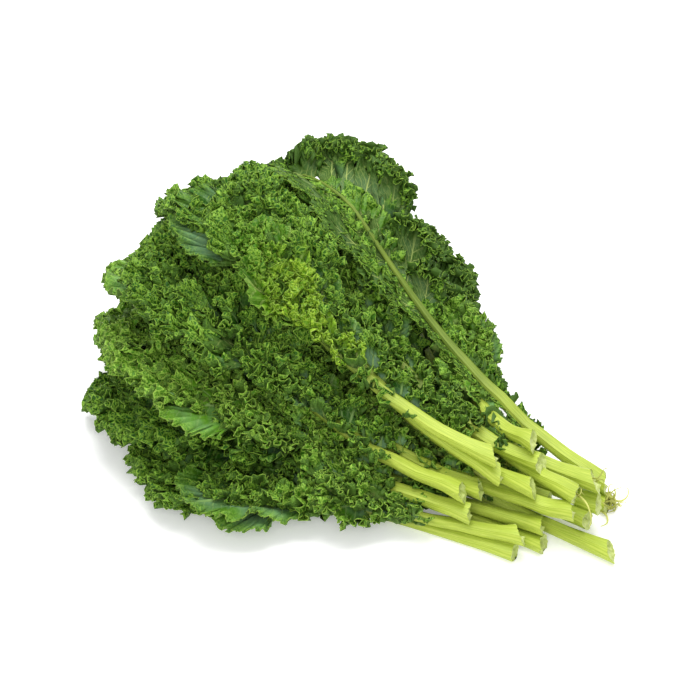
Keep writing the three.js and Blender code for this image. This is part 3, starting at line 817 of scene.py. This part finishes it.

# %% [markdown]
# ## The finest curls
# Under the ruffles that the mesh holds, a kale margin is crumpled once more, at 2 to 3 mm. As mesh
# that would take several million triangles. Here it is a net of crests and hollows, drawn into the
# bump of the outer part of each lobe, and into its colour as painted highlights on the crests and
# painted shade in the hollows.


# %% Group: fine curls
def curl_group():
    tree = bpy.data.node_groups.new("Fine Curls", "ShaderNodeTree")
    face = tree.interface
    face.new_socket("Place", in_out="INPUT", socket_type="NodeSocketVector")
    curls_in = face.new_socket("Curls per Metre", in_out="INPUT", socket_type="NodeSocketFloat")
    curls_in.default_value = 340.0
    face.new_socket("Crest", in_out="OUTPUT", socket_type="NodeSocketFloat")
    n = Nodes(tree)
    inp, out = n.add("NodeGroupInput"), n.add("NodeGroupOutput")
    wobble = n.add("ShaderNodeTexNoise", {"Vector": inp.outputs["Place"], "Scale": 210.0,
                                          "Detail": 1.0})
    sway = n.add("ShaderNodeVectorMath", {0: wobble.outputs["Color"], 1: (0.006, 0.006, 0.006),
                                          2: inp.outputs["Place"]}, operation="MULTIPLY_ADD")
    cells = n.add("ShaderNodeTexVoronoi", {"Vector": sway.outputs[0],
                                           "Scale": inp.outputs["Curls per Metre"]},
                  feature="DISTANCE_TO_EDGE")
    n.give(out.inputs["Crest"], n.span(cells.outputs["Distance"], 0.02, 0.26, 1.0, 0.0))
    return tree


CURLS = curl_group()
print(CURLS.name, "has", len(CURLS.nodes), "nodes")

# %% [markdown]
# ## Blade finishes
# A blade is dark, fresher in clouds and from leaf to leaf, waxy and bluish on its smooth parts, and
# pale along its veins. Towards its margin it carries painted highlights on the crests of its fine
# curls and painted shade in the hollows between them. The underside is paler and duller. All of
# them are one recipe with other colours, so a blade finish is made by a function. Greens are mixed
# dark, because light passes from frill to frill and lifts them.


# %% A blade finish
def blade_finish(name, deep, fresh, rim, vein, waxy_share, rough, curly=(0.5, 0.8)):
    """rim holds the colour of the painted highlights on the crests, on the deep and on the fresh
    parts, and curly the shares of the way out between which the fine curls set in."""
    material = bpy.data.materials.new(name)
    material.use_nodes = True
    n = Nodes(material.node_tree)
    surface = material.node_tree.nodes["Principled BSDF"]
    lay = n.add("ShaderNodeAttribute", attribute_name="lay")
    tone = n.add("ShaderNodeAttribute", attribute_name="tone")
    place = n.add("ShaderNodeTexCoord").outputs["Object"]
    veins = n.add("ShaderNodeGroup", {"Lay": lay.outputs["Vector"]}, node_tree=VEINS)
    crest = n.add("ShaderNodeGroup", {"Place": place}, node_tree=CURLS).outputs["Crest"]
    share = n.add("ShaderNodeSeparateXYZ", {0: lay.outputs["Vector"]}).outputs["Z"]
    cloud = n.noise(place, 22.0, 3.0)
    speck = n.noise(place, 260.0, 2.0)
    # deep to fresh, in clouds and from leaf to leaf
    lift = n.math("ADD", n.math("MULTIPLY", cloud, 0.9),
                  n.math("MULTIPLY", tone.outputs["Fac"], 0.5))
    freshness = n.span(lift, 0.2, 1.0)
    colour = n.mix(freshness, rgba(*deep), rgba(*fresh))
    waxy = n.math("MULTIPLY", n.span(n.noise(place, 30.0, 2.0), 0.42, 0.6),
                  n.span(share, 0.4, 0.75, 1, 0))
    colour = n.mix(n.math("MULTIPLY", waxy, waxy_share), colour, rgba(*BLOOM))
    # painted shade in the hollows and painted highlights on the crests, towards the margin
    frilly = n.span(share, *curly)
    hollow_shade = n.math("MULTIPLY", n.math("SUBTRACT", 1.0, crest), frilly)
    colour = n.mix(n.math("MULTIPLY", hollow_shade, 0.3), colour, rgba(*deep))
    # pale is the painted highlight that the crests take
    pale = n.mix(freshness, rgba(*rim[0]), rgba(*rim[1]))
    crest_highlight_and_relief = n.math("MULTIPLY", crest, frilly)
    colour = n.mix(n.math("MULTIPLY", crest_highlight_and_relief, n.span(speck, 0.3, 0.7, 0.6, 1.0)), colour, pale)
    # the net and the veins, which fade out towards the margin
    colour = n.mix(n.math("MULTIPLY", veins.outputs["Net"], n.span(share, 0.5, 0.9, 0.22, 0.0)),
                   colour, rgba(*vein))
    line = n.math("MULTIPLY", veins.outputs["Veins"], n.span(share, 0.35, 0.85, 1.0, 0.0))
    colour = n.mix(line, colour, rgba(*vein))
    n.give(surface.inputs["Base Color"], colour)
    n.give(surface.inputs["Roughness"], n.span(speck, 0.3, 0.7, rough - 0.08, rough + 0.1))
    surface.inputs["Specular IOR Level"].default_value = 0.22
    height = n.math("MULTIPLY_ADD", crest_highlight_and_relief, 1.6, n.math("MULTIPLY", speck, 0.8))
    height = n.math("SUBTRACT", height, n.math("MULTIPLY", line, 0.8))
    bump = n.add("ShaderNodeBump", {"Strength": 0.7, "Distance": 0.0007, "Height": height})
    n.give(surface.inputs["Normal"], bump.outputs[0])
    return material


# %% The five blade finishes
BLOOM = (0.20, 0.34, 0.21)
PALE_VEIN = (0.33, 0.42, 0.11)
# in each call, the pair of colours after deep and fresh is the painted highlight on the crests
deep_top = blade_finish("Blade deep green", (0.017, 0.078, 0.001), (0.096, 0.256, 0.008),
                        ((0.22, 0.42, 0.038), (0.33, 0.56, 0.07)), (0.20, 0.34, 0.09), 0.5, 0.5)
green_top = blade_finish("Blade green", (0.018, 0.090, 0.002), (0.112, 0.295, 0.010),
                         ((0.24, 0.44, 0.042), (0.35, 0.58, 0.08)), (0.24, 0.39, 0.11), 0.6, 0.5)
young_top = blade_finish("Blade young", (0.044, 0.165, 0.004), (0.150, 0.31, 0.009),
                         ((0.22, 0.41, 0.040), (0.35, 0.54, 0.04)), (0.33, 0.45, 0.11), 0.0, 0.48)
under = blade_finish("Blade underside", (0.045, 0.110, 0.011), (0.102, 0.200, 0.024),
                     ((0.10, 0.22, 0.018), (0.15, 0.30, 0.035)), PALE_VEIN, 0.2, 0.6, (0.8, 0.95))
# the rim finish is mixed paler than the blades, a painted highlight along their thin edges
rim_highlight = blade_finish("Blade rim highlight", (0.13, 0.26, 0.020), (0.23, 0.39, 0.040),
                       ((0.26, 0.42, 0.05), (0.34, 0.50, 0.08)), PALE_VEIN, 0.0, 0.5)
# upper side, lower side and rim, with its painted highlight, of each kind of leaf
FACES = {
    "deep": (deep_top, under, rim_highlight), "green": (green_top, under, rim_highlight),
    "open": (under, under, rim_highlight), "young": (young_top, young_top, rim_highlight),
    "turned": (under, deep_top, rim_highlight),
}
print("finishes:", [finish.name for finish in (deep_top, green_top, young_top, under, rim_highlight)])

# %% [markdown]
# ## Blades
# Each sheet of places becomes a mesh. Decimate then takes out the corners that the form can spare,
# which are many on the smooth parts and few in the curls. Solidify gives the blade a real thickness
# and closes it, with the underside in a finish of its own and the thin rim in a paler one, a
# painted highlight along the edges. A sheet's right face is turned up first. The young leaf is
# yellow-green at its foot and greener towards its tip.

# %% Thin out one sheet
BUDGET = 369000  # triangles for one side of all blades
YOUNG_GREENS = (115, 175)  # mm from the neck over which the young leaf turns green


def leaf_tone(leaf, P):
    """How fresh each place of a blade is, the same all over but on the young leaf."""
    if leaf.kind == "young":
        from_neck = np.linalg.norm(P[..., :2] - NECK, axis=-1)
        return np.interp(from_neck, YOUNG_GREENS, [1.2, -1.8])
    return np.full(P.shape[:2], source(leaf.number).uniform(-1, 1))


def blade_sheet(leaf, k, P, lay):
    """One grid of a blade, thinned to its share of the budget, its right face up."""
    name = f"{leaf.name}_frills_{k}" if k else f"{leaf.name}_frills"
    sheet = grid_piece(name, P, [("lay", lay), ("tone", leaf_tone(leaf, P))])
    normals = np.empty(len(sheet.data.polygons) * 3, np.float32)
    sheet.data.polygons.foreach_get("normal", normals)
    if (normals.reshape(-1, 3)[:, 2].mean() < 0) == (k == 0):
        sheet.data.flip_normals()
    goal = BUDGET * P.shape[0] * P.shape[1] / places
    apply_modifier(sheet, "DECIMATE", ratio=goal / (2 * (P.shape[0] - 1) * (P.shape[1] - 1)))
    return sheet


print("of", places, "places, room for", BUDGET, "triangles on each side")

# %% Make the blades
BLADE_THICKNESS = 0.5 * MM
total = 0
for leaf in leaves:
    made = [blade_sheet(leaf, k, P, lay) for k, (P, lay) in enumerate(blades[leaf.name])]
    bpy.ops.object.select_all(action="DESELECT")
    for sheet in made:
        sheet.select_set(True)
    blade = made[0]
    bpy.context.view_layer.objects.active = blade
    if len(made) > 1:
        bpy.ops.object.join()
    for material in FACES[leaf.kind]:
        blade.data.materials.append(material)
    apply_modifier(blade, "SOLIDIFY", thickness=BLADE_THICKNESS, offset=0, material_offset=1,
                   material_offset_rim=2)
    bpy.ops.object.shade_smooth()
    total += triangles(blade)
    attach(blade, "root")
    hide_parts(leaf.name + "_blade")
print("frill triangles", total)

# %% [markdown]
# ## Stalks
# A kale stalk is no round rod. Below it is a keel, above it is flat or hollow, and fine ribs run
# along it, because its bundles of fibre stand out. It is cut with a knife at a slant and the
# cut has dried hollow. A curve with a bevel would be quicker, but has the same section all along.
# So the stalk is a grid again: rings of one section that are sized, turned and set along the
# leaf's axis, with five more rings that turn in over the cut.

# %% Section of a stalk
AROUND = 28
# section over the radius, from the right keel round by the top
SECTION = np.array([(1.02, -0.05), (0.90, 0.38), (0.62, 0.68), (0.2, 0.72), (-0.2, 0.70),
                    (-0.62, 0.68), (-0.90, 0.38), (-1.02, -0.05), (-0.82, -0.46), (-0.42, -0.74),
                    (0.0, -0.80), (0.42, -0.74), (0.82, -0.46)])
# rings over the cut: their share of the section, and how far they lie past it in mm
CUT_RINGS = [(0.02, -1.6), (0.45, -1.5), (0.82, -0.7), (0.95, -0.2), (1.0, 0.0)]
CUT_RAGGED = [0.2, 0.4, 0.7, 1.0, 1.0]  # how much of the ragged edge each of them takes


def section(count):
    """`count` points round the section, half way between its corners and a smooth curve."""
    n = len(SECTION)
    f = np.arange(count) * n / count
    i = f.astype(int)
    t = (f - i)[:, None]
    p = [SECTION[(i + k) % n] for k in (-1, 0, 1, 2)]
    return 0.5 * curve_through(*p, t) + 0.5 * (p[1] * (1 - t) + p[2] * t)


print("section is", np.ptp(section(AROUND), axis=0).round(2), "times its radius")

# %% Rings along a stalk
STALK_FIT = 0.92  # the fine stalk's ribs stay inside its solid


def stalk_grid(leaf):
    """Places of a stalk, ring after ring, and for each its turn, its way from the cut, and
    whether it is on the cut."""
    draw = source(500 + leaf.number)
    length = leaf.chord * leaf.share_of(RIB_END * leaf.length)
    run = np.concatenate([[1.5, 4, 8, 13, 19, 26], np.linspace(34, length, 24)])
    u = np.concatenate([np.zeros(len(CUT_RINGS)), run / leaf.chord, [length / leaf.chord]])
    place, way = leaf.plan(u)
    axis = np.concatenate([place, leaf.axis(u)[:, None]], -1)
    ahead = np.concatenate([place + way * 2, leaf.axis(u + 2 / leaf.chord)[:, None]], -1)
    along = unit(ahead - axis)
    across = np.concatenate([-way[:, 1:], way[:, :1], np.zeros((len(u), 1))], -1)
    up = np.cross(along, across)
    # the section rolls a little on its way, and carries ribs
    line = section(AROUND)
    roll = math.radians(16) * wander(draw, len(u), 3) + math.radians(14) * draw.uniform(-1, 1)
    c, d = np.cos(roll)[:, None], np.sin(roll)[:, None]
    x = line[None, :, 0] * c - line[None, :, 1] * d
    y = line[None, :, 0] * d + line[None, :, 1] * c
    angle = np.arctan2(line[:, 1], line[:, 0])
    ribs = 1 + 0.025 * np.sin(9 * angle)[None] + 0.02 * np.sin(17 * angle + 1)[None]
    size = (leaf.rib(u) + 0.2 * np.exp(-u * leaf.chord / 22))[:, None] * ribs * STALK_FIT
    rings = len(CUT_RINGS)
    size[:rings] *= np.array([share for share, _ in CUT_RINGS])[:, None]
    size[-1] *= 0.02
    P = (axis[:, None] + across[:, None] * (x * size)[..., None]
         + up[:, None] * (y * size)[..., None])
    # the slanted, ragged cut
    slant = draw.uniform((-5.5, -0.5), (-0.5, 3.5))
    ragged = 0.6 * draw.uniform(-1, 1, AROUND) + 1.3 * wander(draw, AROUND, 5)
    ragged[0] = 0.5 * (ragged[1] + ragged[-1])
    away = np.concatenate([np.zeros(rings), run, [length]])
    fade = np.exp(-away / 5.0)[:, None]
    taken = np.concatenate([CUT_RAGGED, np.ones(len(u) - rings)])[:, None]
    reach = (slant[0] * x + slant[1] * y + ragged * taken) * fade
    depth = np.concatenate([[-past for _, past in CUT_RINGS], np.zeros(len(u) - rings)])[:, None]
    P = P + along[:, None] * (reach + depth)[..., None]
    P = np.concatenate([P, P[:, :1]], axis=1)
    P[..., 2] = np.maximum(P[..., 2], 0.05)
    turn = np.broadcast_to(np.linspace(0, 2 * math.pi, AROUND + 1), P.shape[:2])
    away = np.broadcast_to(away[:, None], P.shape[:2])
    cut = np.concatenate([np.ones(rings - 1), np.zeros(len(u) - rings + 1)])
    return P, np.stack([turn, away, np.broadcast_to(cut[:, None], P.shape[:2])], -1)


print("rings on the first stalk:", len(stalk_grid(leaves[0])[0]))

# %% [markdown]
# ## Stalk finish
# The stalk is pale yellow-green at the cut and turns green as it nears the blade. Its fibres show
# as fine streaks that run along it, so the noise is read on the stalk's own lay, stretched thirty
# times along it. The cut itself is paler and grainy.


# %% A stalk finish
def stalk_finish():
    material = bpy.data.materials.new("Stalk")
    material.use_nodes = True
    n = Nodes(material.node_tree)
    surface = material.node_tree.nodes["Principled BSDF"]
    lay = n.add("ShaderNodeAttribute", attribute_name="lay")
    place = n.add("ShaderNodeTexCoord").outputs["Object"]
    turn, away, cut = n.add("ShaderNodeSeparateXYZ", {0: lay.outputs["Vector"]}).outputs
    ring = n.add("ShaderNodeCombineXYZ", {0: n.math("MULTIPLY", n.math("SINE", turn), 5.0),
                                          1: n.math("MULTIPLY", n.math("COSINE", turn), 5.0),
                                          2: n.math("MULTIPLY", away, 0.03)}).outputs[0]
    streak = n.noise(ring, 1.6, 3.0, 0.6)
    cloud = n.noise(place, 45.0, 2.0)
    lines = n.span(streak, 0.3, 0.7)
    colour = n.mix(lines, rgba(0.31, 0.42, 0.030), rgba(0.50, 0.59, 0.085))
    patches = n.math("MULTIPLY", n.math("SUBTRACT", cloud, 0.5), 0.6)
    green = n.math("ADD", n.span(away, 30.0, 150.0), patches, clamp=True)
    greens = n.mix(lines, rgba(0.055, 0.11, 0.008), rgba(0.17, 0.25, 0.032))
    colour = n.mix(n.math("MULTIPLY", green, 0.9), colour, greens)
    grain = n.span(n.noise(place, 420.0, 2.0), 0.3, 0.7)
    cut_face = n.mix(grain, rgba(0.38, 0.46, 0.12), rgba(0.60, 0.67, 0.27))
    colour = n.mix(n.math("MULTIPLY", cut, 0.8), colour, cut_face)
    n.give(surface.inputs["Base Color"], colour)
    n.give(surface.inputs["Roughness"], n.span(streak, 0.3, 0.7, 0.42, 0.58))
    surface.inputs["Specular IOR Level"].default_value = 0.35
    bump = n.add("ShaderNodeBump", {"Strength": 0.4, "Distance": 0.0005, "Height": streak})
    n.give(surface.inputs["Normal"], bump.outputs[0])
    return material


STALK = stalk_finish()
print("made the finish", STALK.name)

# %% Make the stalks
total = 0
for leaf in leaves:
    P, lay = stalk_grid(leaf)
    stalk = grid_piece(leaf.name + "_stem", P, [("lay", lay)])
    bpy.ops.object.mode_set(mode="EDIT")
    bpy.ops.mesh.select_all(action="SELECT")
    bpy.ops.mesh.remove_doubles(threshold=0.06 * MM)
    bpy.ops.mesh.normals_make_consistent(inside=False)
    bpy.ops.object.mode_set(mode="OBJECT")
    bpy.ops.object.shade_smooth_by_angle(angle=math.radians(38))
    stalk.data.materials.append(STALK)
    total += triangles(stalk)
    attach(stalk, "root")
    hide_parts(leaf.name + "_stalk")
print("stalk triangles", total)

# %% [markdown]
# ## Torn fibres
# Where a stalk is torn from the plant and not cut clean, tough fibres pull out and curl as they
# dry. A fibre is a curve that wanders ahead and thins to its end. A curve object with a round
# bevel gives it its body, and is then made a mesh like every other piece.

# %% One fibre
FIBRE_POINTS = 14
ROOT = 4.0  # mm that a fibre starts inside the stalk
LOWEST = 1.4  # mm over the table
print("a fibre has", FIBRE_POINTS, "points")


def fibre(curve, leaf, draw, long, thick):
    """One curling fibre that hangs from a torn cut end."""
    place, way = leaf.plan(np.array([0.0]))
    radius = float(leaf.radius(np.array(0.0)))
    aside, over = draw.uniform(-0.8, 0.8, 2) * radius
    point = np.array([place[0, 0] - way[0, 1] * aside, place[0, 1] + way[0, 0] * aside,
                      leaf.axis(np.array([0.0]))[0] + 0.7 * over])
    heading = unit(np.array([-way[0, 0] + draw.uniform(-0.6, 0.6),
                             -way[0, 1] + draw.uniform(-0.7, 0.7), draw.uniform(-0.2, 0.7)]))
    curl = draw.uniform(-1, 1, 3) * 2.6 / long
    step = (long + ROOT) / (FIBRE_POINTS - 1)
    point = point - heading * ROOT
    points = []
    for _ in range(FIBRE_POINTS):
        points.append(np.array([point[0], point[1], max(point[2], LOWEST)]))
        point = point + heading * step
        curl = curl + draw.uniform(-1, 1, 3) * 1.2 / long
        heading = unit(heading + np.cross(curl, heading) * step)
    line = curve.splines.new("POLY")
    line.points.add(len(points) - 1)
    for k, (spot, at) in enumerate(zip(line.points, points)):
        spot.co = (*(at * MM), 1.0)
        spot.radius = thick * (1 - 0.75 * k / (FIBRE_POINTS - 1))


# %% A fibre finish
def fibre_finish():
    material = bpy.data.materials.new("Torn fibre")
    material.use_nodes = True
    n = Nodes(material.node_tree)
    surface = material.node_tree.nodes["Principled BSDF"]
    place = n.add("ShaderNodeTexCoord").outputs["Object"]
    shade = n.span(n.noise(place, 90.0, 2.0), 0.3, 0.7)
    n.give(surface.inputs["Base Color"],
           n.mix(shade, rgba(0.26, 0.28, 0.03), rgba(0.60, 0.62, 0.16)))
    n.give(surface.inputs["Roughness"], n.span(n.noise(place, 600.0), 0.3, 0.7, 0.5, 0.7))
    bump = n.add("ShaderNodeBump", {"Strength": 0.4, "Distance": 0.0003,
                                    "Height": n.noise(place, 900.0)})
    n.give(surface.inputs["Normal"], bump.outputs[0])
    return material


FIBRE = fibre_finish()
print("made the finish", FIBRE.name)


# %% Bunches of fibres
def torn_fibres(name, number, longs, thick):
    """The fibres at one leaf's cut end, as one mesh."""
    draw = source(900 + number)
    curve = bpy.data.curves.new(name, "CURVE")
    curve.dimensions = "3D"
    curve.bevel_depth = MM
    curve.bevel_resolution = 1
    curve.use_fill_caps = True
    for long in longs:
        fibre(curve, leaves[number - 1], draw, long, thick * draw.uniform(0.7, 1.2))
    ob = bpy.data.objects.new(name, curve)
    bpy.context.scene.collection.objects.link(ob)
    bpy.ops.object.select_all(action="DESELECT")
    ob.select_set(True)
    bpy.context.view_layer.objects.active = ob
    bpy.ops.object.convert(target="MESH")
    bpy.ops.object.shade_smooth()
    ob = bpy.context.object
    ob.data.materials.append(FIBRE)
    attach(ob, "root")
    print(name, "has", len(longs), "fibres and", triangles(ob), "triangles")


torn_fibres("torn_fibres_back", 6, source(77).uniform(7, 22, 26), 0.9)
torn_fibres("torn_fibres_middle", 12, [27, 14, 10], 0.8)
torn_fibres("torn_fibres_side", 11, [15, 9, 7], 0.7)

# %% [markdown]
# ## Floor, light and camera
# A plain pale floor and a pale world light the bunch evenly from all sides, as a light tent does. A
# large lamp above gives the frills their shape, and a smaller one in front opens the shadows under
# them. The camera stands in front and a little towards the cut ends, looks down on the bunch, and
# has a long lens, which keeps the near stalks from looking too big.

# %% Floor and world
bpy.ops.mesh.primitive_plane_add(size=30)
floor = bpy.context.object
floor.name = "floor"
pale = bpy.data.materials.new("floor")
pale.use_nodes = True
finish = pale.node_tree.nodes["Principled BSDF"]
finish.inputs["Base Color"].default_value = (0.92, 0.92, 0.92, 1)
finish.inputs["Roughness"].default_value = 0.6
finish.inputs["Emission Color"].default_value = (1, 1, 1, 1)
finish.inputs["Emission Strength"].default_value = 0.2
floor.data.materials.append(pale)
world = bpy.data.worlds.new("pale tent")
bpy.context.scene.world = world
world.use_nodes = True
world.node_tree.nodes["Background"].inputs["Color"].default_value = (1, 1, 1, 1)
world.node_tree.nodes["Background"].inputs["Strength"].default_value = 0.68
bpy.context.scene.view_settings.view_transform = "Standard"
print("floor and world in place")


# %% Lamps
def aimed(name, data, place, target):
    """An object at a place that looks at a target."""
    ob = bpy.data.objects.new(name, data)
    bpy.context.scene.collection.objects.link(ob)
    ob.location = place
    ob.rotation_mode = "QUATERNION"
    ob.rotation_quaternion = (target - place).to_track_quat("-Z", "Y")
    return ob


def soft_lamp(name, place, size, watts):
    lamp = bpy.data.lights.new(name, "AREA")
    lamp.size = size
    lamp.energy = watts
    aimed(name, lamp, Vector(place), Vector((0, 0, 0.05)))
    print(name, "of", watts, "W")


soft_lamp("lamp above", (-0.4, 0.4, 1.6), 1.3, 30)
soft_lamp("lamp in front", (0.6, -1.0, 0.9), 0.8, 8)

# %% Camera
AZIMUTH, ELEVATION, DISTANCE, LENS = math.radians(35.0), math.radians(38.0), 1.4, 98
aim = Vector((-0.050, 0.067, 0.0))
back = Vector((math.sin(AZIMUTH) * math.cos(ELEVATION), -math.cos(AZIMUTH) * math.cos(ELEVATION),
               math.sin(ELEVATION)))
camera = aimed("camera", bpy.data.cameras.new("camera"), aim + back * DISTANCE, aim)
camera.data.lens = LENS
bpy.context.scene.camera = camera
print("camera stands", [round(v, 2) for v in camera.location])
